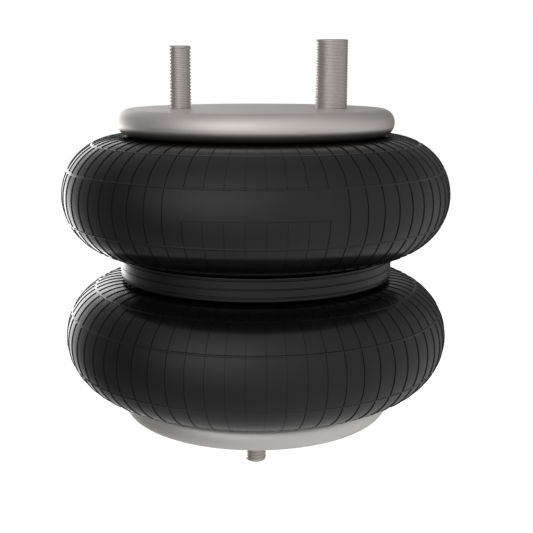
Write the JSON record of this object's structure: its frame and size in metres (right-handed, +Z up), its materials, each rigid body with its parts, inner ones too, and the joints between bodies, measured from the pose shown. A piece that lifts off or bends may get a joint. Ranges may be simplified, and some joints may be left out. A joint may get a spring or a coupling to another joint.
{
  "type": "air suspension spring",
  "caption": "Double convoluted rubber air spring crimped between two steel bead plates, with a girdle at its waist, threaded mounting studs and an air port in one of them.",
  "frame": {"origin": "centre of the lower bead plate's outer face, where the lower stud's shank meets it", "axes": "+Z up the spring's axis from the lower plate to the upper plate, -Y towards the picture's front, +X towards the combination stud with the air port"},
  "size_m": [0.23, 0.2303, 0.2603],
  "materials": {
    "plate_steel": "satin, zinc plated",
    "stud_steel": "satin, zinc plated",
    "weld_steel": "dull, as welded",
    "wire_steel": "bright, drawn wire",
    "insert_steel": "satin",
    "fastener_steel": "satin, zinc plated",
    "bead_fabric": "matte",
    "ply_fabric": "matte",
    "cover_rubber": "satin",
    "girdle_rubber": "satin",
    "liner_rubber": "matte",
    "bumper_rubber": "matte"
  },
  "bodies": {
    "bottom_plate": {"bottom_bead_plate": "plate_steel", "bottom_stud": "stud_steel", "bottom_stud_weld": "weld_steel", "bottom_bead_core": "wire_steel", "bottom_bead_wrap": "bead_fabric", "bumper": "bumper_rubber", "bumper_insert": "insert_steel", "bumper_washer": "fastener_steel", "bumper_nut": "fastener_steel"},
    "girdle": {"girdle_cover": "girdle_rubber", "girdle_wire_hoop": "wire_steel", "bellows_cover": "cover_rubber", "bellows_outer_ply": "ply_fabric", "bellows_inner_ply": "ply_fabric", "bellows_liner": "liner_rubber"},
    "top_plate": {"top_bead_plate": "plate_steel", "top_bead_core": "wire_steel", "top_bead_wrap": "bead_fabric", "blind_stud": "stud_steel", "blind_stud_weld": "weld_steel", "combination_stud": "stud_steel", "combination_stud_weld": "weld_steel"}
  },
  "joints": [
    {"name": "lower_convolution", "type": "slide", "parent": "bottom_plate", "child": "girdle", "axis": [0, 0, 1], "range_m": [-0.042, 0.017], "stiffness_N_per_m": 4000, "springref_m": 0.0043, "deforming": ["bellows_cover", "bellows_outer_ply", "bellows_inner_ply", "bellows_liner"]},
    {"name": "upper_convolution", "type": "slide", "parent": "girdle", "child": "top_plate", "axis": [0, 0, 1], "range_m": [-0.042, 0.017], "stiffness_N_per_m": 4000, "springref_m": 0.002}
  ],
  "couplings": [
    {"joint": "upper_convolution", "follows": "lower_convolution", "ratio": 1}
  ]
}
